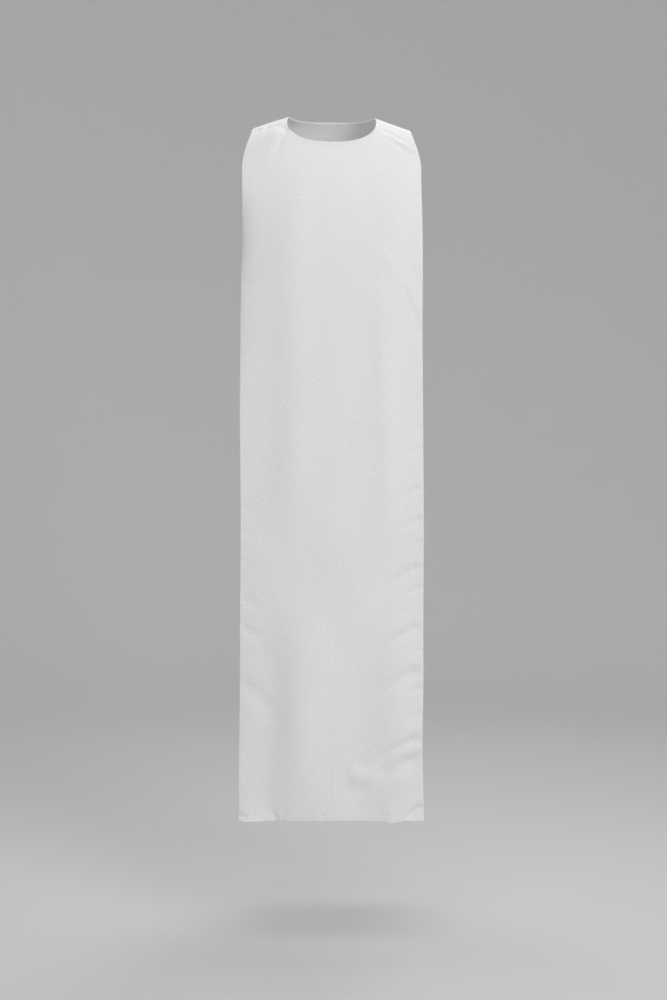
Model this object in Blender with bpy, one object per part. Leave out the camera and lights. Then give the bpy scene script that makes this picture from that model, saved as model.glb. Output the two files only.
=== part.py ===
"""A monastic scapular, hollow, as it hangs from a wearer's shoulders with nobody in it.

Two lengths of white cloth meet at the shoulder seams, with a round neck hole between them. They hang open
at the sides. The front panel starts at the seam, which lies a little forward of the shoulder ridge. The back
panel starts at the same seam, goes over the ridge and down the back.

Units are metres, +Z is up, the front faces -Y and +X is the wearer's left. The origin is the middle of the
neck hole, level with the shoulders where they meet the neck, which is where the wearer holds the garment up.

A place on the cloth is (across, reach). Across is the distance from the centre line, in X. Reach is the
distance along the centre line from the shoulder ridge, positive down the front and negative down the back.
"""

import math
from collections import namedtuple

import bpy
import numpy as np

# The cut and its making
CLOTH = 0.002  # both layers of the turned-out panel
SEAM_GAP = 0.0003
SEAM_REACH = 0.046  # the shoulder seam, forward of the ridge
NECK_HALF_WIDTH = 0.0815
FRONT_NECK_DROP = 0.062
BACK_NECK_REACH = -0.052
NECK_ROUNDNESS = 2.3  # 2 is an ellipse, more is squarer
HEM_DROP = 1.275

# How the general figure under it shapes the cloth
SHOULDER_SLOPE = 0.36
SHOULDER_TILT = 0.014  # the shoulder on +X is carried a little lower
SLOPE_ROUNDING = 0.010
SLOPE_START, SLOPE_END = 0.02, 0.26  # reach over which the slope of the shoulders fades from the cloth
NAPE_RISE = 0.021
NAPE_HALF_WIDTH = 0.115
NAPE_REACH = -0.050
NAPE_END = -0.190

# The grid of each panel
SHOULDER_COLUMNS = 5
NECK_COLUMNS = 14
YOKE_REACH = 0.175  # below it, every row runs straight across
YOKE_ROWS = {"front_panel": 9, "back_panel": 14}
BODY_ROWS = 27

CLOTH_COLOUR = (0.78, 0.78, 0.775, 1.0)
CLOTH_ROUGHNESS = 0.8

Section = namedtuple("Section", "place depth height half_width side_shift")

# The centre line from the front hem, over the shoulders, to the back hem. side_shift is how far in Y the side
# edges lie from the centre line, because the cloth curves round the body.
SECTIONS = (
    Section("front hem", -0.160, -HEM_DROP, 0.1625, 0.007),
    Section("front shin", -0.154, -1.050, 0.1625, 0.007),
    Section("front knee", -0.147, -0.800, 0.1625, 0.008),
    Section("front hip", -0.140, -0.550, 0.1630, 0.010),
    Section("front waist", -0.134, -0.370, 0.1628, 0.012),
    Section("chest", -0.121, -0.220, 0.1630, 0.014),
    Section("upper chest", -0.097, -0.125, 0.1625, 0.014),
    Section("collar bone", -0.072, -0.062, 0.1600, 0.010),
    Section("front of shoulder", -0.049, -0.022, 0.1498, 0.004),
    Section("fore shoulder", -0.028, -0.006, 0.1462, 0.001),
    Section("shoulder ridge", 0.000, 0.000, 0.1450, 0.000),
    Section("back of shoulder", 0.027, -0.004, 0.1465, -0.001),
    Section("yoke", 0.050, -0.017, 0.1500, -0.004),
    Section("nape", 0.074, -0.048, 0.1580, -0.010),
    Section("shoulder blades", 0.104, -0.125, 0.1620, -0.017),
    Section("upper back", 0.120, -0.230, 0.1630, -0.018),
    Section("back waist", 0.124, -0.390, 0.1625, -0.015),
    Section("back hip", 0.127, -0.600, 0.1625, -0.012),
    Section("back knee", 0.133, -0.900, 0.1625, -0.010),
    Section("back hem", 0.141, -HEM_DROP, 0.1625, -0.009),
)

Fold = namedtuple("Fold", "side across_top drop_top across_end drop_end half_width depth")

# The largest soft folds. A positive depth stands out from the body, and a negative one is a hollow.
FOLDS = (
    Fold("front", -0.064, 0.12, -0.068, 0.82, 0.034, 0.0050),
    Fold("front", 0.092, 0.26, 0.097, 0.84, 0.024, 0.0040),
    Fold("front", -0.004, 0.34, 0.002, 0.90, 0.034, 0.0018),
    Fold("front", -0.048, 0.84, -0.052, 1.34, 0.043, 0.0082),
    Fold("front", -0.114, 0.84, -0.120, 1.45, 0.026, -0.0026),
    Fold("front", 0.050, 0.90, 0.052, 1.45, 0.027, -0.0026),
    Fold("front", 0.110, 0.86, 0.118, 1.45, 0.028, 0.0034),
    Fold("back", 0.084, 0.22, 0.092, 0.84, 0.028, -0.0034),
    Fold("back", 0.034, 0.34, 0.036, 1.45, 0.036, 0.0042),
    Fold("back", -0.060, 0.26, -0.068, 1.04, 0.028, -0.0034),
    Fold("back", -0.116, 0.50, -0.122, 1.45, 0.028, 0.0034),
    Fold("back", 0.116, 0.82, 0.122, 1.45, 0.026, 0.0030),
    Fold("back", -0.024, 0.88, -0.028, 1.45, 0.030, -0.0038),
)
FOLD_TAPER = 0.16  # length over which a fold's end dies away

REACH_SAMPLES = 600  # points along one side of the centre line at which its drop is measured
SHARP_ANGLE = math.radians(40.0)  # only the cloth's cut edges turn more sharply than this


def smooth_step(value, start, end):
    """0 before start, 1 after end, and an even curve between them."""
    share = np.clip((value - start) / (end - start), 0.0, 1.0)
    return share * share * (3.0 - 2.0 * share)


def spline(knots, values):
    """A natural cubic spline through the values at the knots, as a function."""
    knots, values = np.asarray(knots), np.asarray(values)
    last = len(knots) - 1
    gaps = np.diff(knots)
    slopes = np.diff(values) / gaps
    system = np.eye(last + 1)
    bends = np.zeros(last + 1)
    for row in range(1, last):
        before, after = gaps[row - 1], gaps[row]
        system[row, row - 1 : row + 2] = before, 2.0 * (before + after), after
        bends[row] = 6.0 * (slopes[row] - slopes[row - 1])
    bends = np.linalg.solve(system, bends)

    def at(place):
        span = np.clip(np.searchsorted(knots, place) - 1, 0, last - 1)
        gap = gaps[span]
        after = (place - knots[span]) / gap
        before = 1.0 - after
        return (
            before * values[span]
            + after * values[span + 1]
            + (before**3 - before) * bends[span] * gap**2 / 6.0
            + (after**3 - after) * bends[span + 1] * gap**2 / 6.0
        )

    return at


def section_reaches():
    """Each section's reach: its distance along the centre line from the shoulder ridge."""
    steps = [math.dist(a[1:3], b[1:3]) for a, b in zip(SECTIONS, SECTIONS[1:])]
    along = np.concatenate([[0.0], np.cumsum(steps)])
    ridge = [section.place for section in SECTIONS].index("shoulder ridge")
    return along - along[ridge]


# The spline's parameter grows from the front hem to the back hem, so it is the reach with its sign turned.
ALONG = section_reaches()
DEPTH, HEIGHT, HALF_WIDTH, SIDE_SHIFT = (
    spline(ALONG, [section[column] for section in SECTIONS]) for column in (1, 2, 3, 4)
)
HEM_REACH = {"front": -ALONG[0], "back": -ALONG[-1]}


def half_width(reach):
    return HALF_WIDTH(-np.asarray(reach))


def reach_at(drop, side):
    """The reach at which that side's centre line has come down by drop. Past the hem it goes straight on."""
    hem = HEM_REACH[side]
    reaches = np.linspace(0.0, hem, REACH_SAMPLES)
    drops = -HEIGHT(-reaches)
    beyond = np.maximum(drop - HEM_DROP, 0.0)
    return np.interp(drop, drops, reaches) + math.copysign(1.0, hem) * beyond


def shoulder_fall(across, reach):
    """How far the slope and the tilt of the shoulders lower the cloth."""
    past_neck = np.abs(across) - NECK_HALF_WIDTH
    ramp = (past_neck + np.sqrt(past_neck**2 + SLOPE_ROUNDING**2)) / 2.0
    fade = 1.0 - smooth_step(np.abs(reach), SLOPE_START, SLOPE_END)
    return (SHOULDER_SLOPE * ramp + SHOULDER_TILT * across) * fade


def nape_rise(across, reach):
    """How far the base of the neck lifts the middle of the upper back."""
    bell = np.cos(np.clip(across / NAPE_HALF_WIDTH, -1.0, 1.0) * math.pi / 2.0) ** 2
    swell = smooth_step(-reach, 0.0, -NAPE_REACH) - smooth_step(-reach, -NAPE_REACH, -NAPE_END)
    return NAPE_RISE * bell * swell


def fold_height(across, reach):
    """How far all the folds together lift the cloth from its smooth form."""
    lift = np.zeros(np.shape(across))
    for fold in FOLDS:
        start = abs(reach_at(fold.drop_top, fold.side))
        end = abs(reach_at(fold.drop_end, fold.side))
        down = np.abs(reach)
        share = np.clip((down - start) / (end - start), 0.0, 1.0)
        middle = fold.across_top + share * (fold.across_end - fold.across_top)
        ridge = np.exp(-(((across - middle) / fold.half_width) ** 2))
        length = smooth_step(down, start, start + FOLD_TAPER) - smooth_step(down, end - FOLD_TAPER, end)
        on_side = reach > 0 if fold.side == "front" else reach < 0
        lift += fold.depth * ridge * length * on_side
    return lift


def smooth_form(across, reach):
    """The outer face without folds."""
    width = half_width(reach)
    depth = DEPTH(-reach) + SIDE_SHIFT(-reach) * (across / width) ** 2
    height = HEIGHT(-reach) - shoulder_fall(across, reach) + nape_rise(across, reach)
    return np.stack([across, depth, height], axis=-1)


def outward(form, across, reach, step=0.0005):
    """The unit normal of a form, pointing away from the body."""
    sideways = form(across + step, reach) - form(across - step, reach)
    backward = form(across, reach - step) - form(across, reach + step)
    normal = np.cross(sideways, backward)
    return normal / np.linalg.norm(normal, axis=-1, keepdims=True)


def outer_face(across, reach):
    """The cloth's outer face, with its folds."""
    lift = fold_height(across, reach)[..., None]
    return smooth_form(across, reach) + lift * outward(smooth_form, across, reach)


def neck_edge(angles, panel):
    """The panel's neck edge, as (across, reach), at angles of 0 in the middle and 90 degrees at the seam."""
    power = 2.0 / NECK_ROUNDNESS
    across = NECK_HALF_WIDTH * np.sign(angles) * np.abs(np.sin(angles)) ** power
    share = np.abs(np.cos(angles)) ** power
    if panel == "front_panel":
        seam_drop = -float(HEIGHT(-SEAM_REACH))
        return across, reach_at(seam_drop + share * (FRONT_NECK_DROP - seam_drop), "front")
    return across, SEAM_REACH + share * (BACK_NECK_REACH - SEAM_REACH)


def panel_grid(panel):
    """The panel's cut as two tables, across and reach, with a row for each line of the grid, top down."""
    side = "front" if panel == "front_panel" else "back"
    down = 1.0 if side == "front" else -1.0
    seam = SEAM_REACH + down * SEAM_GAP / 2.0

    angles = np.linspace(-math.pi / 2.0, math.pi / 2.0, NECK_COLUMNS + 1)
    neck_across, neck_reach = neck_edge(angles, panel)
    shoulder = np.linspace(NECK_HALF_WIDTH, float(half_width(seam)), SHOULDER_COLUMNS + 1)[1:]
    top_across = np.concatenate([-shoulder[::-1], neck_across, shoulder])
    top_reach = np.full(top_across.shape, seam)
    top_reach[SHOULDER_COLUMNS:-SHOULDER_COLUMNS] = neck_reach
    top_reach[[SHOULDER_COLUMNS, -SHOULDER_COLUMNS - 1]] = seam

    top_share = top_across / half_width(top_reach)
    even_share = np.linspace(-1.0, 1.0, len(top_share))
    rows = []
    for step in range(YOKE_ROWS[panel] + 1):
        mix = step / YOKE_ROWS[panel]
        reach = top_reach + mix * (down * YOKE_REACH - top_reach)
        rows.append((top_share + mix * (even_share - top_share), reach))
    for step in range(1, BODY_ROWS + 1):
        reach = down * YOKE_REACH + (HEM_REACH[side] - down * YOKE_REACH) * step / BODY_ROWS
        rows.append((even_share, np.full(even_share.shape, reach)))
    shares = np.array([share for share, _ in rows])
    reaches = np.array([reach for _, reach in rows])
    return shares * half_width(reaches), reaches


def wall_faces(rows, columns):
    """The faces of a wall whose outer grid of points is followed by its inner grid."""
    inner = rows * columns
    faces = []
    for row in range(rows - 1):
        for column in range(columns - 1):
            a = row * columns + column
            b, c, d = a + 1, a + columns + 1, a + columns
            faces.append((a, d, c, b))
            faces.append((a + inner, b + inner, c + inner, d + inner))
    top = list(range(columns))
    right = [row * columns + columns - 1 for row in range(rows)]
    bottom = [(rows - 1) * columns + column for column in reversed(range(columns))]
    left = [row * columns for row in reversed(range(rows))]
    for edge in (top, right, bottom, left):
        for a, b in zip(edge, edge[1:]):
            faces.append((a, b, b + inner, a + inner))
    return faces


def cloth_material():
    material = bpy.data.materials.new("scapular_cloth")
    material.use_nodes = True
    shader = material.node_tree.nodes["Principled BSDF"]
    shader.inputs["Base Color"].default_value = CLOTH_COLOUR
    shader.inputs["Roughness"].default_value = CLOTH_ROUGHNESS
    shader.inputs["Metallic"].default_value = 0.0
    return material


def make_panel(panel, material):
    """One length of cloth, as a closed wall of even thickness."""
    across, reach = panel_grid(panel)
    outer = outer_face(across, reach)
    inner = outer - CLOTH * outward(outer_face, across, reach)
    faces = wall_faces(*across.shape)
    if panel == "back_panel":
        faces = [face[::-1] for face in faces]
    points = np.concatenate([outer.reshape(-1, 3), inner.reshape(-1, 3)])

    mesh = bpy.data.meshes.new(panel)
    mesh.from_pydata(points.tolist(), [], faces)
    mesh.materials.append(material)
    mesh.shade_smooth()
    mesh.set_sharp_from_angle(angle=SHARP_ANGLE)
    panel_object = bpy.data.objects.new(panel, mesh)
    bpy.context.scene.collection.objects.link(panel_object)
    return panel_object


def main():
    for old in list(bpy.data.objects):
        bpy.data.objects.remove(old)
    material = cloth_material()
    for panel in ("front_panel", "back_panel"):
        make_panel(panel, material)


main()
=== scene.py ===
"""The looks of the monastic scapular: two panels of double cloth, sewn at the shoulders, open at the sides.

Units are metres, +Z is up, the front faces -Y and +X is the wearer's left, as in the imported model. A place
on the cloth is (across, reach). Across is the distance from the centre line, in X. Reach is the distance
along the centre line from the shoulder ridge, positive down the front and negative down the back. Drop is
the height lost from the ridge at the centre line, and the tables below use it for how far down a thing is.
"""

import math
from collections import namedtuple

import bpy
import numpy as np
from mathutils.kdtree import KDTree
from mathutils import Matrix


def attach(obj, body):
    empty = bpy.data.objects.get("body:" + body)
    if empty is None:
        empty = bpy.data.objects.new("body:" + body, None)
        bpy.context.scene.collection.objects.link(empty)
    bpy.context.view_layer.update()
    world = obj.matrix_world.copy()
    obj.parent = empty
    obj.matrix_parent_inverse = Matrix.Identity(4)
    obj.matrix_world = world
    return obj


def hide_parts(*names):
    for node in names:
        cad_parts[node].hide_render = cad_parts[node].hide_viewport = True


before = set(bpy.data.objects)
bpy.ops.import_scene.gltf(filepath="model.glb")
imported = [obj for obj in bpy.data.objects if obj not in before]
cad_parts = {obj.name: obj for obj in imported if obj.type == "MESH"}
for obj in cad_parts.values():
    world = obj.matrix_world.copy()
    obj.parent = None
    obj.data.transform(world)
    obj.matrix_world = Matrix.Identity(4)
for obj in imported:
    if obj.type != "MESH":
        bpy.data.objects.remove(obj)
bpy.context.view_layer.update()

# ---------------------------------------------------------------- the cut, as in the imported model

WALL = 0.002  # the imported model's wall, whose middle the cloth follows
SEAM_GAP = 0.0003
SEAM_REACH = 0.046
NECK_HALF_WIDTH = 0.0815
FRONT_NECK_DROP = 0.062
BACK_NECK_REACH = -0.052
NECK_ROUNDNESS = 2.3
HEM_DROP = 1.275
YOKE_REACH = 0.175  # below it, every row of the mesh runs straight across
REACH_SAMPLES = 600  # points along one side of the centre line at which its drop is measured

SHOULDER_SLOPE = 0.36
SHOULDER_TILT = 0.014
SLOPE_ROUNDING = 0.010
SLOPE_START, SLOPE_END = 0.02, 0.26
NAPE_RISE = 0.021
NAPE_HALF_WIDTH = 0.115
NAPE_REACH = -0.050
NAPE_END = -0.190

Section = namedtuple("Section", "place depth height half_width side_shift")

SECTIONS = (
    Section("front hem", -0.160, -HEM_DROP, 0.1625, 0.007),
    Section("front shin", -0.154, -1.050, 0.1625, 0.007),
    Section("front knee", -0.147, -0.800, 0.1625, 0.008),
    Section("front hip", -0.140, -0.550, 0.1630, 0.010),
    Section("front waist", -0.134, -0.370, 0.1628, 0.012),
    Section("chest", -0.121, -0.220, 0.1630, 0.014),
    Section("upper chest", -0.097, -0.125, 0.1625, 0.014),
    Section("collar bone", -0.072, -0.062, 0.1600, 0.010),
    Section("front of shoulder", -0.049, -0.022, 0.1498, 0.004),
    Section("fore shoulder", -0.028, -0.006, 0.1462, 0.001),
    Section("shoulder ridge", 0.000, 0.000, 0.1450, 0.000),
    Section("back of shoulder", 0.027, -0.004, 0.1465, -0.001),
    Section("yoke", 0.050, -0.017, 0.1500, -0.004),
    Section("nape", 0.074, -0.048, 0.1580, -0.010),
    Section("shoulder blades", 0.104, -0.125, 0.1620, -0.017),
    Section("upper back", 0.120, -0.230, 0.1630, -0.018),
    Section("back waist", 0.124, -0.390, 0.1625, -0.015),
    Section("back hip", 0.127, -0.600, 0.1625, -0.012),
    Section("back knee", 0.133, -0.900, 0.1625, -0.010),
    Section("back hem", 0.141, -HEM_DROP, 0.1625, -0.009),
)

# ---------------------------------------------------------------- folds and creases

Fold = namedtuple("Fold", "side across_top drop_top across_end drop_end half_width depth")

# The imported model's folds. A positive depth stands out from the body, and a negative one is a hollow.
FOLDS = (
    Fold("front", -0.064, 0.12, -0.068, 0.82, 0.034, 0.0050),
    Fold("front", 0.092, 0.26, 0.097, 0.84, 0.024, 0.0040),
    Fold("front", -0.004, 0.34, 0.002, 0.90, 0.034, 0.0018),
    Fold("front", -0.048, 0.84, -0.052, 1.34, 0.043, 0.0082),
    Fold("front", -0.114, 0.84, -0.120, 1.45, 0.026, -0.0026),
    Fold("front", 0.050, 0.90, 0.052, 1.45, 0.027, -0.0026),
    Fold("front", 0.110, 0.86, 0.118, 1.45, 0.028, 0.0034),
    Fold("back", 0.084, 0.22, 0.092, 0.84, 0.028, -0.0034),
    Fold("back", 0.034, 0.34, 0.036, 1.45, 0.036, 0.0042),
    Fold("back", -0.060, 0.26, -0.068, 1.04, 0.028, -0.0034),
    Fold("back", -0.116, 0.50, -0.122, 1.45, 0.028, 0.0034),
    Fold("back", 0.116, 0.82, 0.122, 1.45, 0.026, 0.0030),
    Fold("back", -0.024, 0.88, -0.028, 1.45, 0.030, -0.0038),
)
FOLD_TAPER = 0.16

# A crease runs from its start to its end, bowed sideways by sag at its middle. half_width is across it.
# fade_in and fade_out are the shares of its length over which it comes and goes.
Crease = namedtuple(
    "Crease", "side across_start drop_start across_end drop_end sag half_width depth fade_in fade_out"
)

CREASES = (
    # Drag lines from the neck points down over the front of each shoulder
    Crease("front", -0.094, 0.024, -0.134, 0.112, 0.003, 0.0190, 0.0036, 0.20, 0.80),
    Crease("front", -0.080, 0.026, -0.116, 0.094, 0.003, 0.0072, -0.0032, 0.12, 0.60),
    Crease("front", 0.088, 0.026, 0.144, 0.038, -0.003, 0.0056, -0.0017, 0.20, 0.40),
    Crease("front", 0.098, 0.034, 0.152, 0.053, -0.004, 0.0066, 0.0015, 0.25, 0.40),
    Crease("front", 0.106, 0.042, 0.158, 0.068, -0.003, 0.0058, -0.0015, 0.30, 0.30),
    # Chest
    Crease("front", 0.068, 0.244, 0.152, 0.396, 0.010, 0.0120, 0.0014, 0.35, 0.20),
    Crease("front", 0.112, 0.300, 0.106, 0.440, 0.003, 0.0120, 0.0010, 0.35, 0.45),
    Crease("front", 0.122, 0.326, 0.158, 0.424, 0.004, 0.0056, -0.0013, 0.30, 0.15),
    Crease("front", 0.136, 0.286, 0.162, 0.350, 0.003, 0.0052, -0.0011, 0.40, 0.10),
    Crease("front", 0.070, 0.400, 0.078, 0.700, 0.005, 0.0120, -0.0009, 0.30, 0.40),
    # The steep flank and the bulge low on the front
    Crease("front", -0.094, 0.940, -0.088, 1.240, -0.004, 0.0200, -0.0018, 0.35, 0.40),
    Crease("front", 0.020, 1.186, 0.100, 1.194, -0.010, 0.0180, 0.0048, 0.35, 0.35),
    # Corners of the hem
    Crease("front", -0.166, 1.262, -0.140, 1.271, 0.000, 0.0036, -0.0021, 0.00, 0.50),
    Crease("front", -0.152, 1.282, -0.128, 1.250, 0.001, 0.0042, -0.0021, 0.10, 0.50),
    Crease("front", -0.108, 1.250, -0.094, 1.282, 0.001, 0.0048, -0.0019, 0.50, 0.00),
    Crease("front", -0.078, 1.250, -0.090, 1.282, 0.001, 0.0044, -0.0014, 0.50, 0.00),
    Crease("front", -0.036, 1.260, -0.032, 1.282, 0.001, 0.0034, -0.0009, 0.50, 0.00),
    Crease("front", -0.017, 1.254, -0.016, 1.282, 0.001, 0.0034, -0.0010, 0.50, 0.00),
    Crease("front", 0.104, 1.236, 0.105, 1.286, 0.000, 0.0100, 0.0014, 0.50, 0.00),
    # Back: drag lines from the neck points and over the shoulder blades
    Crease("back", 0.086, 0.012, 0.146, 0.110, 0.008, 0.0090, 0.0020, 0.25, 0.45),
    Crease("back", -0.086, 0.012, -0.144, 0.100, -0.008, 0.0080, 0.0018, 0.25, 0.45),
    Crease("back", 0.060, 0.030, 0.120, 0.150, 0.008, 0.0070, -0.0014, 0.30, 0.50),
    Crease("back", -0.064, 0.034, -0.128, 0.160, -0.008, 0.0075, -0.0015, 0.30, 0.50),
    Crease("back", -0.020, 0.030, -0.030, 0.130, 0.002, 0.0090, -0.0008, 0.30, 0.60),
    Crease("back", 0.068, 0.240, 0.074, 0.620, 0.006, 0.0110, 0.0012, 0.30, 0.45),
    Crease("back", -0.084, 0.280, -0.090, 0.700, -0.006, 0.0120, 0.0012, 0.30, 0.45),
    Crease("back", 0.004, 0.420, 0.000, 0.860, 0.005, 0.0130, -0.0011, 0.30, 0.45),
    # Back: along the hem
    Crease("back", 0.088, 1.240, 0.090, 1.286, 0.000, 0.0100, 0.0015, 0.50, 0.00),
    Crease("back", -0.060, 1.250, -0.052, 1.284, 0.001, 0.0046, -0.0014, 0.50, 0.00),
    Crease("back", 0.128, 1.252, 0.120, 1.284, 0.001, 0.0044, -0.0016, 0.50, 0.00),
)

# A drag line starts at the side edge that across_end is nearer to, and trails inward and down. It is a hollow
# with a lip under it.
Drag = namedtuple("Drag", "side drop_edge across_end drop_end sag half_width depth")
DRAGS = (
    Drag("front", 0.472, 0.132, 0.486, 0.001, 0.0072, 0.0009),
    Drag("front", 0.528, 0.118, 0.560, -0.003, 0.0076, 0.0013),
    Drag("front", 0.584, 0.130, 0.600, -0.001, 0.0064, 0.0008),
    Drag("front", 0.618, 0.126, 0.640, -0.002, 0.0070, 0.0010),
    Drag("front", 0.684, 0.100, 0.758, -0.009, 0.0070, 0.0030),
    Drag("front", 0.741, 0.112, 0.784, -0.005, 0.0060, 0.0023),
    Drag("front", 0.782, 0.124, 0.806, -0.002, 0.0056, 0.0015),
    Drag("front", 0.825, 0.070, 0.902, -0.009, 0.0074, 0.0034),
    Drag("front", 0.864, 0.112, 0.894, -0.004, 0.0060, 0.0020),
    Drag("front", 0.930, 0.054, 1.006, -0.008, 0.0074, 0.0034),
    Drag("front", 0.974, 0.132, 0.990, -0.002, 0.0052, 0.0013),
    Drag("front", 1.004, 0.042, 1.116, -0.014, 0.0110, 0.0046),
    Drag("front", 1.040, 0.132, 1.058, -0.002, 0.0056, 0.0014),
    Drag("front", 1.086, 0.128, 1.106, -0.002, 0.0060, 0.0018),
    Drag("front", 1.125, 0.042, 1.214, -0.012, 0.0092, 0.0042),
    Drag("front", 1.156, 0.104, 1.194, -0.004, 0.0062, 0.0020),
    Drag("front", 1.166, 0.004, 1.256, -0.014, 0.0140, 0.0042),
    Drag("front", 1.246, 0.116, 1.284, -0.003, 0.0056, 0.0044),
    Drag("front", 0.318, -0.136, 0.336, 0.002, 0.0080, 0.0006),
    Drag("front", 0.722, -0.128, 0.742, 0.002, 0.0090, 0.0006),
    Drag("front", 0.766, -0.130, 0.786, 0.002, 0.0070, 0.0007),
    Drag("front", 0.818, -0.132, 0.834, 0.002, 0.0080, 0.0006),
    Drag("front", 0.882, -0.116, 0.912, 0.003, 0.0100, 0.0013),
    Drag("front", 0.934, -0.114, 0.968, 0.004, 0.0096, 0.0015),
    Drag("front", 1.030, -0.086, 1.126, 0.010, 0.0150, 0.0022),
    Drag("back", 0.452, 0.130, 0.466, -0.002, 0.0070, 0.0007),
    Drag("back", 0.560, 0.116, 0.594, -0.005, 0.0084, 0.0012),
    Drag("back", 0.668, 0.130, 0.686, -0.003, 0.0070, 0.0007),
    Drag("back", 0.786, 0.094, 0.846, -0.007, 0.0095, 0.0015),
    Drag("back", 0.880, 0.128, 0.902, -0.003, 0.0073, 0.0009),
    Drag("back", 1.046, 0.092, 1.110, -0.007, 0.0108, 0.0015),
    Drag("back", 1.150, 0.130, 1.176, -0.003, 0.0078, 0.0010),
    Drag("back", 0.510, -0.132, 0.524, 0.002, 0.0068, 0.0007),
    Drag("back", 0.632, -0.104, 0.682, 0.007, 0.0086, 0.0014),
    Drag("back", 0.720, -0.130, 0.740, 0.003, 0.0073, 0.0009),
    Drag("back", 0.930, -0.080, 1.008, 0.010, 0.0135, 0.0018),
    Drag("back", 1.090, -0.128, 1.116, 0.004, 0.0076, 0.0010),
    Drag("back", 1.180, -0.126, 1.206, 0.004, 0.0078, 0.0011),
    Drag("back", 1.246, -0.140, 1.268, 0.002, 0.0070, 0.0012),
)
DRAG_START = 0.164  # just past the side edge
DRAG_FADE_IN, DRAG_FADE_OUT = 0.16, 0.68
DRAG_LIP = 0.12  # the lip's height, as a share of the hollow's depth
DRAG_LIP_OFFSET = 1.6  # in half widths

# The press line down the middle, from when the panel lay folded. It is a sharp ridge, not a soft one.
Press = namedtuple("Press", "side across_start drop_start across_end drop_end half_width depth")
PRESSES = (
    Press("front", -0.0088, 0.62, 0.0046, 1.29, 0.0040, 0.00045),
    Press("back", 0.0060, 0.50, -0.0040, 1.29, 0.0040, 0.00045),
)
PRESS_TAPER = 0.10

# Where a free side edge stands out or turns back
Swell = namedtuple("Swell", "side edge drop half_length inward lift")
SWELLS = (
    Swell("front", -1, 0.240, 0.080, 0.018, -0.0122),
    Swell("front", -1, 0.370, 0.150, 0.016, -0.0048),
    Swell("front", -1, 0.560, 0.120, 0.022, 0.0012),
    Swell("front", -1, 1.060, 0.120, 0.034, -0.0040),
    Swell("front", -1, 1.220, 0.050, 0.030, 0.0020),
    Swell("front", 1, 0.330, 0.060, 0.020, 0.0016),
    Swell("front", 1, 0.560, 0.100, 0.020, -0.0010),
    Swell("front", 1, 0.760, 0.050, 0.022, 0.0014),
    Swell("front", 1, 0.950, 0.060, 0.022, -0.0014),
    Swell("front", 1, 1.200, 0.060, 0.026, 0.0020),
    Swell("back", -1, 0.360, 0.090, 0.022, 0.0016),
    Swell("back", -1, 0.700, 0.090, 0.024, -0.0018),
    Swell("back", -1, 1.060, 0.080, 0.026, 0.0022),
    Swell("back", 1, 0.480, 0.100, 0.024, -0.0016),
    Swell("back", 1, 0.860, 0.080, 0.024, 0.0018),
    Swell("back", 1, 1.190, 0.060, 0.026, -0.0014),
)

# Where the hem stands out from the body. upward is how far up that reaches.
Kick = namedtuple("Kick", "side across half_width upward lift")
KICKS = (
    Kick("front", -0.142, 0.026, 0.022, 0.0095),
    Kick("front", 0.104, 0.014, 0.018, 0.0022),
    Kick("front", 0.152, 0.014, 0.012, 0.0028),
    Kick("front", 0.010, 0.030, 0.016, -0.0012),
    Kick("back", 0.140, 0.026, 0.016, 0.0042),
    Kick("back", -0.070, 0.022, 0.018, 0.0024),
    Kick("back", -0.150, 0.016, 0.012, 0.0030),
)

# How far a side edge strays from straight, outward positive
Stray = namedtuple("Stray", "side edge drop half_length shift")
STRAYS = (
    Stray("front", -1, 0.760, 0.140, -0.0018),
    Stray("front", -1, 1.150, 0.080, 0.0008),
    Stray("front", -1, 0.400, 0.100, 0.0006),
    Stray("front", 1, 0.400, 0.120, -0.0008),
    Stray("front", 1, 0.760, 0.120, 0.0006),
    Stray("front", 1, 1.150, 0.080, -0.0026),
    Stray("back", -1, 0.620, 0.120, -0.0016),
    Stray("back", -1, 1.060, 0.090, 0.0010),
    Stray("back", 1, 0.820, 0.120, -0.0020),
)
STRAY_INWARD = 0.030

# How far the hem strays from level, downward positive
Dip = namedtuple("Dip", "side across half_width shift")
DIPS = (
    Dip("front", 0.104, 0.012, 0.0030),
    Dip("front", -0.150, 0.014, 0.0012),
    Dip("front", 0.066, 0.016, 0.0010),
    Dip("back", 0.088, 0.014, 0.0026),
    Dip("back", -0.100, 0.018, 0.0014),
)
DIP_UPWARD = 0.030

# How far the shoulder seam strays from straight, forward positive
Wander = namedtuple("Wander", "across half_width shift")
WANDERS = (
    Wander(-0.134, 0.006, -0.0016),
    Wander(-0.123, 0.009, 0.0034),
    Wander(-0.1115, 0.005, -0.0016),
    Wander(-0.1005, 0.007, 0.0040),
    Wander(0.098, 0.006, -0.0012),
    Wander(0.112, 0.012, 0.0024),
    Wander(0.130, 0.008, -0.0014),
)

# Short puckers where the shoulder seam gathers a little, by reach instead of drop
Pucker = namedtuple("Pucker", "across reach_start reach_end half_width depth")
PUCKERS = (
    Pucker(-0.137, 0.038, 0.058, 0.0040, -0.0008),
    Pucker(-0.1285, 0.040, 0.056, 0.0036, 0.0007),
    Pucker(-0.1185, 0.036, 0.064, 0.0044, -0.0011),
    Pucker(-0.1085, 0.038, 0.058, 0.0036, 0.0008),
    Pucker(-0.1005, 0.040, 0.058, 0.0038, -0.0008),
    Pucker(-0.0925, 0.038, 0.060, 0.0034, 0.0006),
    Pucker(0.094, 0.038, 0.058, 0.0038, -0.0005),
    Pucker(0.108, 0.036, 0.062, 0.0044, 0.0006),
    Pucker(0.121, 0.038, 0.058, 0.0040, -0.0007),
    Pucker(0.135, 0.040, 0.058, 0.0040, 0.0005),
)

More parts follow.
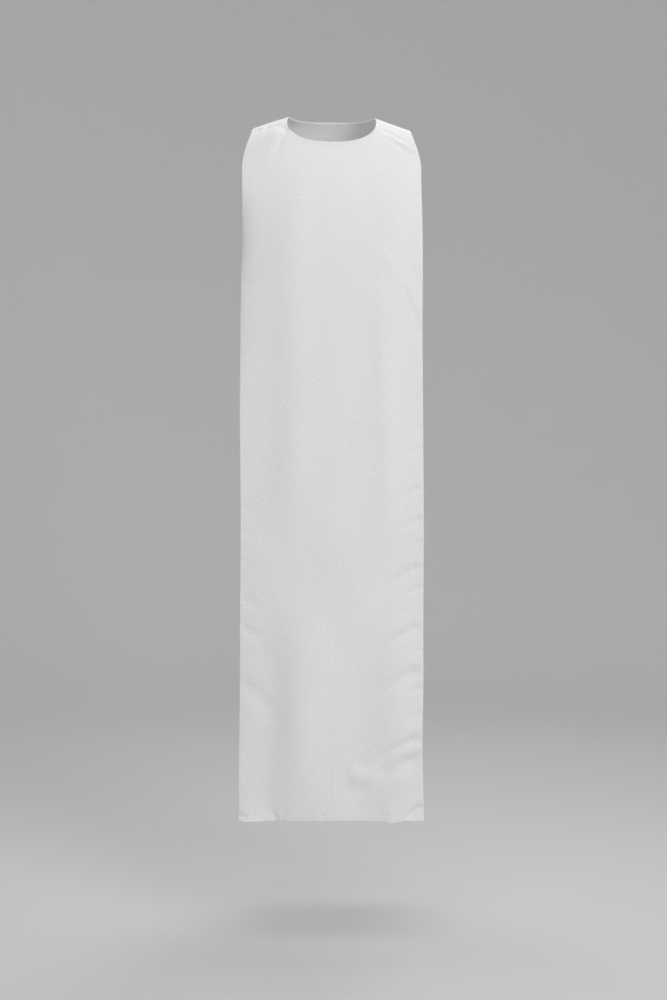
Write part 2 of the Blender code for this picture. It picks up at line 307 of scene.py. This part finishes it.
# Unevenness of the whole cloth, too small and too common to place by hand
Ripple = namedtuple("Ripple", "across_size reach_size height seed")
RIPPLES = (
    Ripple(0.060, 0.170, 0.00070, 3),
    Ripple(0.026, 0.060, 0.00024, 11),
    Ripple(0.011, 0.017, 0.00005, 29),
)
RIPPLE_ROWS, RIPPLE_COLUMNS = 400, 60  # enough for the finest ripple to cover the whole cloth

# ---------------------------------------------------------------- the making of the cloth

CLOTH = 0.0016  # two layers, turned out
EDGE_ROUND = 0.0012  # how far in from a turned edge the cloth is rounded
SEAM_ROUND = 0.0006
SEAM_SINK, SEAM_SINK_WIDTH = 0.0009, 0.0024  # how far the cloth dips towards the seam on the wearer's right
SEAM_EVENNESS = 0.55  # how much less it dips on the wearer's left
ALLOWANCE = (0.0075, 0.0115)  # how far in the turned-in seam allowance starts to end, and has ended
ALLOWANCE_STEP = 0.00014  # the faint step that it shows as
NECK_ROLL = 0.0009
NECK_ROLL_WIDTH = 0.0045

STEP = 0.0026  # the mesh's spacing away from the edges
FINE = np.array([0.0, 0.0003, 0.0008, 0.0015, 0.0026, 0.0042, 0.0064])  # its places near an edge
SHOULDER_COLUMNS = 32
EDGE_SAMPLES = 6  # points for each column of the mesh, where the distance to the upper edge is measured
FAR_FROM_EDGE = 0.03  # stands for any greater distance


def smooth_step(value, start, end):
    """0 before start, 1 after end, and an even curve between them."""
    share = np.clip((value - start) / (end - start), 0.0, 1.0)
    return share * share * (3.0 - 2.0 * share)


def bell(offset, half_width):
    return np.exp(-((offset / half_width) ** 2))


def spline(knots, values):
    """A natural cubic spline through the values at the knots, as a function."""
    knots, values = np.asarray(knots), np.asarray(values)
    last = len(knots) - 1
    gaps = np.diff(knots)
    slopes = np.diff(values) / gaps
    system = np.eye(last + 1)
    bends = np.zeros(last + 1)
    for row in range(1, last):
        before, after = gaps[row - 1], gaps[row]
        system[row, row - 1 : row + 2] = before, 2.0 * (before + after), after
        bends[row] = 6.0 * (slopes[row] - slopes[row - 1])
    bends = np.linalg.solve(system, bends)

    def at(place):
        span = np.clip(np.searchsorted(knots, place) - 1, 0, last - 1)
        gap = gaps[span]
        after = (place - knots[span]) / gap
        before = 1.0 - after
        return (
            before * values[span]
            + after * values[span + 1]
            + (before**3 - before) * bends[span] * gap**2 / 6.0
            + (after**3 - after) * bends[span + 1] * gap**2 / 6.0
        )

    return at


def section_reaches():
    """Each section's reach with its sign turned, so that it grows from the front hem to the back hem."""
    steps = [math.dist(a[1:3], b[1:3]) for a, b in zip(SECTIONS, SECTIONS[1:])]
    along = np.concatenate([[0.0], np.cumsum(steps)])
    ridge = [section.place for section in SECTIONS].index("shoulder ridge")
    return along - along[ridge]


ALONG = section_reaches()
DEPTH, HEIGHT, HALF_WIDTH, SIDE_SHIFT = (
    spline(ALONG, [section[column] for section in SECTIONS]) for column in (1, 2, 3, 4)
)
HEM_REACH = {"front": -ALONG[0], "back": -ALONG[-1]}


def half_width(reach):
    return HALF_WIDTH(-np.asarray(reach))


def reach_at(drop, side):
    """The reach at which that side's centre line has come down by drop. Past the hem it goes straight on."""
    hem = HEM_REACH[side]
    reaches = np.linspace(0.0, hem, REACH_SAMPLES)
    beyond = np.maximum(drop - HEM_DROP, 0.0)
    return np.interp(drop, -HEIGHT(-reaches), reaches) + math.copysign(1.0, hem) * beyond


def shoulder_fall(across, reach):
    """How far the slope and the tilt of the shoulders lower the cloth."""
    past_neck = np.abs(across) - NECK_HALF_WIDTH
    ramp = (past_neck + np.sqrt(past_neck**2 + SLOPE_ROUNDING**2)) / 2.0
    fade = 1.0 - smooth_step(np.abs(reach), SLOPE_START, SLOPE_END)
    return (SHOULDER_SLOPE * ramp + SHOULDER_TILT * across) * fade


def nape_rise(across, reach):
    """How far the base of the neck lifts the middle of the upper back."""
    middle = np.cos(np.clip(across / NAPE_HALF_WIDTH, -1.0, 1.0) * math.pi / 2.0) ** 2
    swell = smooth_step(-reach, 0.0, -NAPE_REACH) - smooth_step(-reach, -NAPE_REACH, -NAPE_END)
    return NAPE_RISE * middle * swell


def smooth_form(across, reach):
    """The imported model's outer face without its folds."""
    width = half_width(reach)
    depth = DEPTH(-reach) + SIDE_SHIFT(-reach) * (across / width) ** 2
    height = HEIGHT(-reach) - shoulder_fall(across, reach) + nape_rise(across, reach)
    return np.stack([across, depth, height], axis=-1)


def outward(form, across, reach, step=0.0005):
    """The unit normal of a form, pointing away from the body."""
    sideways = form(across + step, reach) - form(across - step, reach)
    backward = form(across, reach - step) - form(across, reach + step)
    normal = np.cross(sideways, backward)
    return normal / np.linalg.norm(normal, axis=-1, keepdims=True)


def fold_height(across, reach):
    lift = np.zeros(np.shape(across))
    for fold in FOLDS:
        start = abs(reach_at(fold.drop_top, fold.side))
        end = abs(reach_at(fold.drop_end, fold.side))
        down = np.abs(reach)
        share = np.clip((down - start) / (end - start), 0.0, 1.0)
        middle = fold.across_top + share * (fold.across_end - fold.across_top)
        length = smooth_step(down, start, start + FOLD_TAPER) - smooth_step(down, end - FOLD_TAPER, end)
        on_side = reach > 0 if fold.side == "front" else reach < 0
        lift += fold.depth * bell(across - middle, fold.half_width) * length * on_side
    return lift


def along_and_off(across, reach, side, start, end):
    """Where a place is along the line from start to end, each (across, drop), and how far off to its side."""
    start = np.array([start[0], reach_at(start[1], side)])
    end = np.array([end[0], reach_at(end[1], side)])
    length = np.linalg.norm(end - start)
    direction = (end - start) / length
    share = ((across - start[0]) * direction[0] + (reach - start[1]) * direction[1]) / length
    off = (across - start[0]) * direction[1] - (reach - start[1]) * direction[0]
    return share, off * math.copysign(1.0, direction[1])


def bow(share, sag):
    """How far a line bowed by sag has left its straight course."""
    inside = np.clip(share, 0.0, 1.0)
    return 4.0 * sag * inside * (1.0 - inside)


def crease_height(across, reach):
    lift = np.zeros(np.shape(across))
    for crease in CREASES:
        start = (crease.across_start, crease.drop_start)
        share, off = along_and_off(across, reach, crease.side, start, (crease.across_end, crease.drop_end))
        come = smooth_step(share, 0.0, crease.fade_in) if crease.fade_in else 1.0
        go = 1.0 - (smooth_step(share, 1.0 - crease.fade_out, 1.0) if crease.fade_out else 0.0)
        lift += crease.depth * bell(off - bow(share, crease.sag), crease.half_width) * come * go
    return lift


def drag_height(across, reach):
    lift = np.zeros(np.shape(across))
    for drag in DRAGS:
        edge = math.copysign(1.0, drag.across_end)
        start = (edge * DRAG_START, drag.drop_edge)
        share, off = along_and_off(across, reach, drag.side, start, (drag.across_end, drag.drop_end))
        off = (off - bow(share, drag.sag)) * edge / drag.half_width
        length = smooth_step(share, 0.0, DRAG_FADE_IN) - smooth_step(share, 1.0 - DRAG_FADE_OUT, 1.0)
        lift += drag.depth * (DRAG_LIP * bell(off - DRAG_LIP_OFFSET, 1.0) - bell(off, 1.0)) * length
    return lift


def press_height(across, reach):
    lift = np.zeros(np.shape(across))
    for press in PRESSES:
        start = (press.across_start, press.drop_start)
        share, off = along_and_off(across, reach, press.side, start, (press.across_end, press.drop_end))
        length = smooth_step(share, 0.0, PRESS_TAPER)
        lift += press.depth * np.exp(-np.abs(off) / press.half_width) * length
    return lift


def pucker_height(across, reach):
    lift = np.zeros(np.shape(across))
    for pucker in PUCKERS:
        middle = (pucker.reach_start + pucker.reach_end) / 2.0
        half_length = (pucker.reach_end - pucker.reach_start) / 2.0
        ridge = bell(across - pucker.across, pucker.half_width)
        lift += pucker.depth * ridge * bell(reach - middle, half_length)
    return lift


def swell_height(across, reach):
    lift = np.zeros(np.shape(across))
    for swell in SWELLS:
        place = reach_at(swell.drop, swell.side)
        inward = half_width(reach) - swell.edge * across
        lift += swell.lift * bell(reach - place, swell.half_length) * np.exp(-inward / swell.inward)
    return lift


def kick_height(across, reach):
    lift = np.zeros(np.shape(across))
    for kick in KICKS:
        hem = HEM_REACH[kick.side]
        above = np.maximum(np.abs(hem) - np.abs(reach), 0.0)
        on_side = np.sign(reach) == np.sign(hem)
        share = bell(across - kick.across, kick.half_width) * np.exp(-above / kick.upward)
        lift += kick.lift * share * on_side
    return lift


def ripple_height(across, reach):
    """Smooth unevenness: random heights on a lattice, with an even curve between neighbours."""
    lift = np.zeros(np.shape(across))
    for ripple in RIPPLES:
        heights = np.random.default_rng(ripple.seed).uniform(-1.0, 1.0, (RIPPLE_ROWS, RIPPLE_COLUMNS))
        column = across / ripple.across_size + RIPPLE_COLUMNS / 2.0
        row = reach / ripple.reach_size + RIPPLE_ROWS / 2.0
        left, top = np.floor(column).astype(int), np.floor(row).astype(int)
        right_share = smooth_step(column - left, 0.0, 1.0)
        low_share = smooth_step(row - top, 0.0, 1.0)
        upper = heights[top, left] * (1.0 - right_share) + heights[top, left + 1] * right_share
        lower = heights[top + 1, left] * (1.0 - right_share) + heights[top + 1, left + 1] * right_share
        lift += ripple.height * (upper * (1.0 - low_share) + lower * low_share)
    return lift


def creased_form(across, reach):
    """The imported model's outer face with every fold and crease of the cloth."""
    parts = (
        fold_height,
        crease_height,
        drag_height,
        press_height,
        pucker_height,
        swell_height,
        kick_height,
        ripple_height,
    )
    lift = sum(part(across, reach) for part in parts)
    return smooth_form(across, reach) + lift[..., None] * outward(smooth_form, across, reach)


def seam_line(across):
    """The reach of the shoulder seam."""
    return SEAM_REACH + sum(bend.shift * bell(across - bend.across, bend.half_width) for bend in WANDERS)


def neck_edge(angles, side):
    """That side's neck edge, as (across, reach), at angles of 0 in the middle and 90 degrees at the seam."""
    power = 2.0 / NECK_ROUNDNESS
    across = NECK_HALF_WIDTH * np.sign(angles) * np.abs(np.sin(angles)) ** power
    share = np.abs(np.cos(angles)) ** power
    if side == "front":
        seam_drop = -float(HEIGHT(-SEAM_REACH))
        return across, reach_at(seam_drop + share * (FRONT_NECK_DROP - seam_drop), "front")
    return across, SEAM_REACH + share * (BACK_NECK_REACH - SEAM_REACH)


def places(length, fine_start, fine_end):
    """Places from 0 to length, an odd number, STEP apart and closer together at a fine end."""
    start = FINE if fine_start else FINE[:1]
    end = FINE if fine_end else FINE[:1]
    count = 2 * math.ceil((length - start[-1] - end[-1]) / STEP / 2.0)
    middle = np.linspace(start[-1], length - end[-1], count + 1)
    return np.concatenate([start, middle[1:-1], (length - end)[::-1]])


def top_edge(side, columns):
    """The panel's upper edge from one side edge to the other, as (across, reach)."""
    down = 1.0 if side == "front" else -1.0
    neck_columns = columns - 1 - 2 * SHOULDER_COLUMNS
    neck_across, neck_reach = neck_edge(np.linspace(-math.pi / 2.0, math.pi / 2.0, neck_columns + 1), side)
    width = float(half_width(SEAM_REACH))
    even = np.linspace(FINE[-1], width - NECK_HALF_WIDTH, SHOULDER_COLUMNS - len(FINE) + 2)
    shoulder = width - np.concatenate([FINE[:-1], even[:-1]])
    across = np.concatenate([-shoulder, neck_across, shoulder[::-1]])
    reach = np.concatenate([seam_line(-shoulder), neck_reach, seam_line(shoulder[::-1])])
    reach[[SHOULDER_COLUMNS, -SHOULDER_COLUMNS - 1]] = SEAM_REACH
    on_seam = np.abs(across) >= NECK_HALF_WIDTH - 1e-9
    return across, reach + down * on_seam * SEAM_GAP / 2.0


def cut_grid(side):
    """The panel's cut as two tables, across and reach, with a row for each line of the mesh, top down."""
    down = 1.0 if side == "front" else -1.0
    hem = abs(HEM_REACH[side])
    full_width = 2.0 * float(half_width(down * YOKE_REACH))
    even_share = 2.0 * places(full_width, True, True) / full_width - 1.0
    top_across, top_reach = top_edge(side, len(even_share))
    top_share = top_across / half_width(top_reach)

    shoulder_length = YOKE_REACH - down * SEAM_REACH
    mix = (places(shoulder_length, True, False) / shoulder_length)[:, None]
    yoke_share = top_share + mix * (even_share - top_share)
    yoke_reach = top_reach + mix * (down * YOKE_REACH - top_reach)
    body_down = YOKE_REACH + places(hem - YOKE_REACH, False, True)[1:]
    body_reach = np.repeat(down * body_down[:, None], len(even_share), axis=1)
    body_share = np.repeat(even_share[None, :], len(body_down), axis=0)
    share = np.concatenate([yoke_share, body_share])
    reach = np.concatenate([yoke_reach, body_reach])
    return share * half_width(reach), reach


def stray(side, across, reach):
    """The same places, moved in the cloth's own surface so that its edges aren't dead straight."""
    width, down = half_width(reach), np.abs(reach)
    hem = abs(HEM_REACH[side])
    moved = across.copy()
    for bend in (bend for bend in STRAYS if bend.side == side):
        inward = width - bend.edge * across
        share = bell(reach - reach_at(bend.drop, side), bend.half_length) * np.exp(-inward / STRAY_INWARD)
        moved += bend.edge * bend.shift * share
    lower = np.zeros(np.shape(across))
    for dip in (dip for dip in DIPS if dip.side == side):
        lower += dip.shift * bell(across - dip.across, dip.half_width) * np.exp((down - hem) / DIP_UPWARD)
    return moved, reach + np.sign(reach) * lower


def distances(side, across, reach):
    """How far each place is from the turned edges, from the neck edge alone, and from the shoulder seams."""
    width, hem = half_width(reach), abs(HEM_REACH[side])
    columns = np.arange(across.shape[1])
    between = np.linspace(0.0, columns[-1], EDGE_SAMPLES * len(columns))
    edge_across = np.interp(between, columns, across[0])
    edge_reach = np.interp(between, columns, reach[0])
    found = {}
    for name, chosen in (
        ("neck", np.abs(edge_across) <= NECK_HALF_WIDTH),
        ("seam", np.abs(edge_across) >= NECK_HALF_WIDTH),
    ):
        tree = KDTree(int(chosen.sum()))
        for index, place in enumerate(zip(edge_across[chosen], edge_reach[chosen])):
            tree.insert((*place, 0.0), index)
        tree.balance()
        gap = np.full(across.shape, FAR_FROM_EDGE)
        for row, column in zip(*np.nonzero(np.abs(reach) < YOKE_REACH + STEP)):
            gap[row, column] = tree.find((across[row, column], reach[row, column], 0.0))[2]
        found[name] = gap
    side_gap = width - np.abs(across)
    turned = np.minimum(np.minimum(side_gap, hem - np.abs(reach)), found["neck"])
    return np.maximum(turned, 0.0), found["neck"], found["seam"]


def grid_normals(points, turn):
    """Unit normals of a grid of points, pointing away from the body."""
    normal = np.cross(np.gradient(points, axis=1), np.gradient(points, axis=0)) * turn
    return normal / np.linalg.norm(normal, axis=-1, keepdims=True)


def shell_mesh(name, outer, inner, across, reach, face_out):
    """A closed shell. The inner face has every second line of the outer face's grid, and shares its rim."""
    rows, columns = across.shape
    rim = np.ones((rows, columns), bool)
    rim[1:-1, 1:-1] = False
    hidden = np.zeros((rows, columns), bool)
    hidden[2:-2:2, 2:-2:2] = True
    outer_index = np.arange(rows * columns).reshape(rows, columns)
    inner_index = outer_index.copy()
    inner_index[hidden] = rows * columns + np.arange(hidden.sum())
    points = np.concatenate([outer.reshape(-1, 3), inner[hidden]])

    a, b = outer_index[:-1, :-1].ravel(), outer_index[:-1, 1:].ravel()
    c, d = outer_index[1:, 1:].ravel(), outer_index[1:, :-1].ravel()
    faces = np.stack((a, d, c, b) if face_out else (a, b, c, d), axis=1).tolist()
    around = ((0, 0), (0, 1), (0, 2), (1, 2), (2, 2), (2, 1), (2, 0), (1, 0))
    for row in range(0, rows - 1, 2):
        for column in range(0, columns - 1, 2):
            corners = [(row + down, column + right) for down, right in around]
            used = [place for place in corners if rim[place] or place[0] % 2 == place[1] % 2 == 0]
            face = [inner_index[place] for place in used]
            faces.append(face if face_out else face[::-1])
    mesh = bpy.data.meshes.new(name)
    mesh.from_pydata(points.tolist(), [], faces)
    mesh.shade_smooth()

    cut = np.concatenate(
        [
            np.stack([across.ravel(), reach.ravel()], axis=1),
            np.stack([across[hidden], reach[hidden]], axis=1),
        ]
    )
    loop_points = np.empty(len(mesh.loops), np.int32)
    mesh.loops.foreach_get("vertex_index", loop_points)
    layer = mesh.uv_layers.new(name="cut")
    layer.data.foreach_set("uv", cut[loop_points].astype(np.float32).ravel())
    return mesh


def make_panel(side, across, reach, material):
    """One panel of the scapular, closed all round, with soft turned edges."""
    turned_gap, neck_gap, seam_gap = distances(side, across, reach)
    moved_across, moved_reach = stray(side, across, reach)
    turn = -1.0 if side == "front" else 1.0
    form = creased_form(moved_across, moved_reach)
    normals = grid_normals(form, turn)

    step = ALLOWANCE_STEP * (1.0 - smooth_step(turned_gap, *ALLOWANCE))
    sink = SEAM_SINK * (1.0 - SEAM_EVENNESS * (across > 0.0)) * bell(seam_gap, SEAM_SINK_WIDTH)
    roll = NECK_ROLL * bell(neck_gap, NECK_ROLL_WIDTH) - sink
    openness = np.minimum(np.minimum(turned_gap / EDGE_ROUND, seam_gap / SEAM_ROUND), 1.0)
    thickness = CLOTH * np.sqrt(1.0 - (1.0 - openness) ** 2)
    middle = form + normals * (roll + step - WALL / 2.0)[..., None]
    outer = middle + normals * (thickness / 2.0)[..., None]
    inner = middle - normals * (thickness / 2.0 + step)[..., None]

    name = f"{side}_cloth"
    mesh = shell_mesh(name, outer, inner, across, reach, side == "front")
    mesh.materials.append(material)
    panel = bpy.data.objects.new(name, mesh)
    bpy.context.scene.collection.objects.link(panel)
    return panel


# ---------------------------------------------------------------- the cloth's material


class Nodes:
    """Short ways to add and link a material's nodes."""

    def __init__(self, name):
        self.material = bpy.data.materials.new(name)
        self.material.use_nodes = True
        self.tree = self.material.node_tree
        self.shader = self.tree.nodes["Principled BSDF"]

    def add(self, kind, settings=None, **inputs):
        node = self.tree.nodes.new(kind)
        for key, value in (settings or {}).items():
            setattr(node, key, value)
        for key, value in inputs.items():
            self.set(node, key.replace("_", " "), value)
        return node

    def set(self, node, socket, value):
        target = node.inputs[int(socket)] if socket.isdigit() else node.inputs[socket]
        if isinstance(value, bpy.types.NodeSocket):
            self.tree.links.new(value, target)
        else:
            target.default_value = value

    def noise(self, place, scale, detail, roughness):
        node = self.add("ShaderNodeTexNoise", Vector=place, Scale=scale, Detail=detail, Roughness=roughness)
        return node.outputs["Fac"]

    def stretched(self, place, across, reach):
        node = self.add("ShaderNodeMapping", Vector=place, Scale=(across, reach, 1.0))
        return node.outputs["Vector"]

    def between(self, value, low, high):
        """The value, which runs from 0 to 1, turned into low to high."""
        node = self.add("ShaderNodeMapRange", Value=value, To_Min=low, To_Max=high)
        return node.outputs["Result"]

    def sum(self, first, second):
        node = self.add("ShaderNodeMath", {"operation": "ADD"})
        self.set(node, "0", first)
        self.set(node, "1", second)
        return node.outputs[0]


CLOTH_TONE = 0.80
TONE_GRAIN = 0.140
TONE_DRIFT = 0.020
GRAIN_PER_METRE = 380.0
THREADS_PER_METRE = 1500.0
GRAIN_DEPTH = 0.00045


def cloth_material():
    """Matte white polyester with a fine crepe grain over a plain weave."""
    cloth = Nodes("white_crepe")
    place = cloth.add("ShaderNodeUVMap", {"uv_map": "cut"}).outputs["UV"]
    grain = cloth.noise(cloth.stretched(place, GRAIN_PER_METRE, GRAIN_PER_METRE * 0.7), 1.0, 3.0, 0.62)
    drift = cloth.noise(cloth.stretched(place, 14.0, 6.0), 1.0, 2.0, 0.5)

    grain_tone = cloth.between(grain, -TONE_GRAIN, TONE_GRAIN)
    drift_tone = cloth.between(drift, CLOTH_TONE - TONE_DRIFT, CLOTH_TONE + TONE_DRIFT)
    tone = cloth.sum(grain_tone, drift_tone)
    colour = cloth.add("ShaderNodeCombineColor", Red=tone, Green=tone, Blue=tone)
    cloth.set(cloth.shader, "Base Color", colour.outputs["Color"])
    cloth.set(cloth.shader, "Roughness", cloth.between(grain, 0.72, 0.88))

    threads = []
    for direction in ("X", "Y"):
        wave = cloth.add(
            "ShaderNodeTexWave",
            {"bands_direction": direction},
            Vector=place,
            Scale=THREADS_PER_METRE / 20.0,
            Distortion=0.4,
            Detail=1.0,
            Detail_Scale=1.0,
        )
        threads.append(wave.outputs["Fac"])
    weave = cloth.sum(*threads)
    relief = cloth.sum(cloth.between(weave, 0.0, 0.10), grain)
    bump = cloth.add("ShaderNodeBump", Height=relief, Distance=GRAIN_DEPTH, Strength=0.6)
    cloth.set(cloth.shader, "Normal", bump.outputs["Normal"])

    for socket, value in (
        ("Metallic", 0.0),
        ("Specular IOR Level", 0.35),
        ("Sheen Weight", 0.18),
        ("Sheen Roughness", 0.45),
    ):
        cloth.shader.inputs[socket].default_value = value
    return cloth.material


# ---------------------------------------------------------------- stage, light and camera

FLOOR_HEIGHT = -1.50
FLOOR_RADII = (0.02, 0.6, 0.9, 1.2, 1.5, 1.8, 2.1, 2.4)  # its rings of points, out to where it starts to bend
STAGE_RADIUS = 4.8
STAGE_BEND = 2.2
STAGE_WALL = 3.0
STAGE_TURNS = 96
FLOOR_PAINTED_SHADE_TONE, WALL_PAINTED_LIGHT_TONE = 0.64, 0.90  # painted shade on the floor and painted light up the wall, so that the wall looks no darker than the lit floor
PAINTED_LIGHT_RISE = (1.2, 3.6)  # the distances from the middle between which the painted light rises from the floor's tone to the wall's


def make_stage():
    """A pale round studio sweep: a floor that bends up into a wall on every side, coloured with painted shade
    on the floor and painted light up the wall.
    """
    bend = np.linspace(0.0, math.pi / 2.0, 13)
    bend_radii = STAGE_RADIUS - STAGE_BEND + STAGE_BEND * np.sin(bend)
    bend_heights = STAGE_BEND * (1.0 - np.cos(bend))
    radii = np.concatenate([FLOOR_RADII, bend_radii, [STAGE_RADIUS]])
    heights = np.concatenate([np.zeros(len(FLOOR_RADII)), bend_heights, [STAGE_BEND + STAGE_WALL]])
    angle = np.linspace(0.0, 2.0 * math.pi, STAGE_TURNS, endpoint=False)
    points = np.stack(
        [
            np.outer(radii, np.cos(angle)),
            np.outer(radii, np.sin(angle)),
            np.repeat(FLOOR_HEIGHT + heights[:, None], STAGE_TURNS, axis=1),
        ],
        axis=-1,
    ).reshape(-1, 3)
    faces = [tuple(range(STAGE_TURNS))]
    for ring in range(len(radii) - 1):
        for turn in range(STAGE_TURNS):
            here = ring * STAGE_TURNS + turn
            beside = ring * STAGE_TURNS + (turn + 1) % STAGE_TURNS
            faces.append((here, here + STAGE_TURNS, beside + STAGE_TURNS, beside))
    mesh = bpy.data.meshes.new("studio_sweep")
    mesh.from_pydata(points.tolist(), [], faces)
    mesh.shade_smooth()
    # Painted shade and painted light: the paper is coloured darker on the floor and lighter up the wall, to
    # even out how the lamps light it
    share = smooth_step(np.repeat(radii, STAGE_TURNS), *PAINTED_LIGHT_RISE)
    painted_light_tones = FLOOR_PAINTED_SHADE_TONE + (WALL_PAINTED_LIGHT_TONE - FLOOR_PAINTED_SHADE_TONE) * share
    shade = mesh.color_attributes.new("tone", "FLOAT_COLOR", "POINT")
    shade.data.foreach_set("color", np.stack([painted_light_tones, painted_light_tones, painted_light_tones, np.ones_like(painted_light_tones)], axis=1).ravel())
    material = bpy.data.materials.new("studio_paper_painted_light")
    material.use_nodes = True
    shader = material.node_tree.nodes["Principled BSDF"]
    # The painted shade and painted light reach the paper's colour through this node
    painted_light_paper = material.node_tree.nodes.new("ShaderNodeVertexColor")
    painted_light_paper.layer_name = "tone"
    material.node_tree.links.new(painted_light_paper.outputs["Color"], shader.inputs["Base Color"])
    shader.inputs["Roughness"].default_value = 0.95
    shader.inputs["Specular IOR Level"].default_value = 0.1
    mesh.materials.append(material)
    sweep = bpy.data.objects.new("studio_sweep", mesh)
    bpy.context.scene.collection.objects.link(sweep)


Softbox = namedtuple("Softbox", "name place aim width height power")

SOFTBOXES = (
    Softbox("key", (1.7, -2.75, 0.2), (0.0, -0.1, -0.80), 1.4, 1.8, 16.3),
    Softbox("fill", (-1.8, -2.8, -0.2), (0.0, -0.1, -0.70), 1.6, 2.0, 1.6),
    Softbox("overhead", (0.1, -1.4, 1.9), (0.0, -0.1, -0.8), 1.8, 1.2, 6.1),
    Softbox("hair", (0.1, 0.5, 1.7), (0.0, 0.0, -0.1), 1.6, 1.2, 6.8),
    Softbox("behind", (1.2, 2.3, 1.2), (0.0, 0.1, -0.6), 1.6, 1.6, 7.6),
    Softbox("behind_fill", (-1.8, 2.1, 1.0), (0.0, 0.1, -0.7), 1.4, 1.4, 3.1),
)
SPREAD = math.radians(110.0)  # narrow enough to keep each box's light off the paper beside it
WORLD_STRENGTH = 0.41


def turn_towards(thing, place, aim):
    """Puts a light or a camera at a place, looking at aim."""
    step = np.array(aim) - np.array(place)
    thing.location = place
    flat = math.hypot(step[0], step[1])
    thing.rotation_euler = (math.atan2(flat, -step[2]), 0.0, math.atan2(-step[0], step[1]))


def make_lights():
    for box in SOFTBOXES:
        light = bpy.data.lights.new(box.name, "AREA")
        light.shape = "RECTANGLE"
        light.size, light.size_y = box.width, box.height
        light.energy = box.power
        light.spread = SPREAD
        holder = bpy.data.objects.new(box.name, light)
        turn_towards(holder, box.place, box.aim)
        bpy.context.scene.collection.objects.link(holder)
    world = bpy.data.worlds.new("studio")
    world.use_nodes = True
    world.node_tree.nodes["Background"].inputs["Color"].default_value = (1.0, 1.0, 1.0, 1.0)
    world.node_tree.nodes["Background"].inputs["Strength"].default_value = WORLD_STRENGTH
    bpy.context.scene.world = world
    bpy.context.scene.view_settings.view_transform = "Standard"


CAMERA_PLACE = (0.0036, -2.592, -0.7119)
CAMERA_LENS = 50.0  # millimetres, on a 36 mm sensor


def make_camera():
    """A level camera in front, far enough away for the whole length."""
    lens = bpy.data.cameras.new("camera")
    lens.lens = CAMERA_LENS
    camera = bpy.data.objects.new("camera", lens)
    turn_towards(camera, CAMERA_PLACE, (CAMERA_PLACE[0], 0.0, CAMERA_PLACE[2]))
    bpy.context.scene.collection.objects.link(camera)
    bpy.context.scene.camera = camera


# ---------------------------------------------------------------- putting it together


def main():
    make_camera()
    make_lights()
    make_stage()
    material = cloth_material()
    for side in ("front", "back"):
        across, reach = cut_grid(side)
        panel = make_panel(side, across, reach, material)
        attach(panel, "root")
        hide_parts(f"{side}_panel")


main()
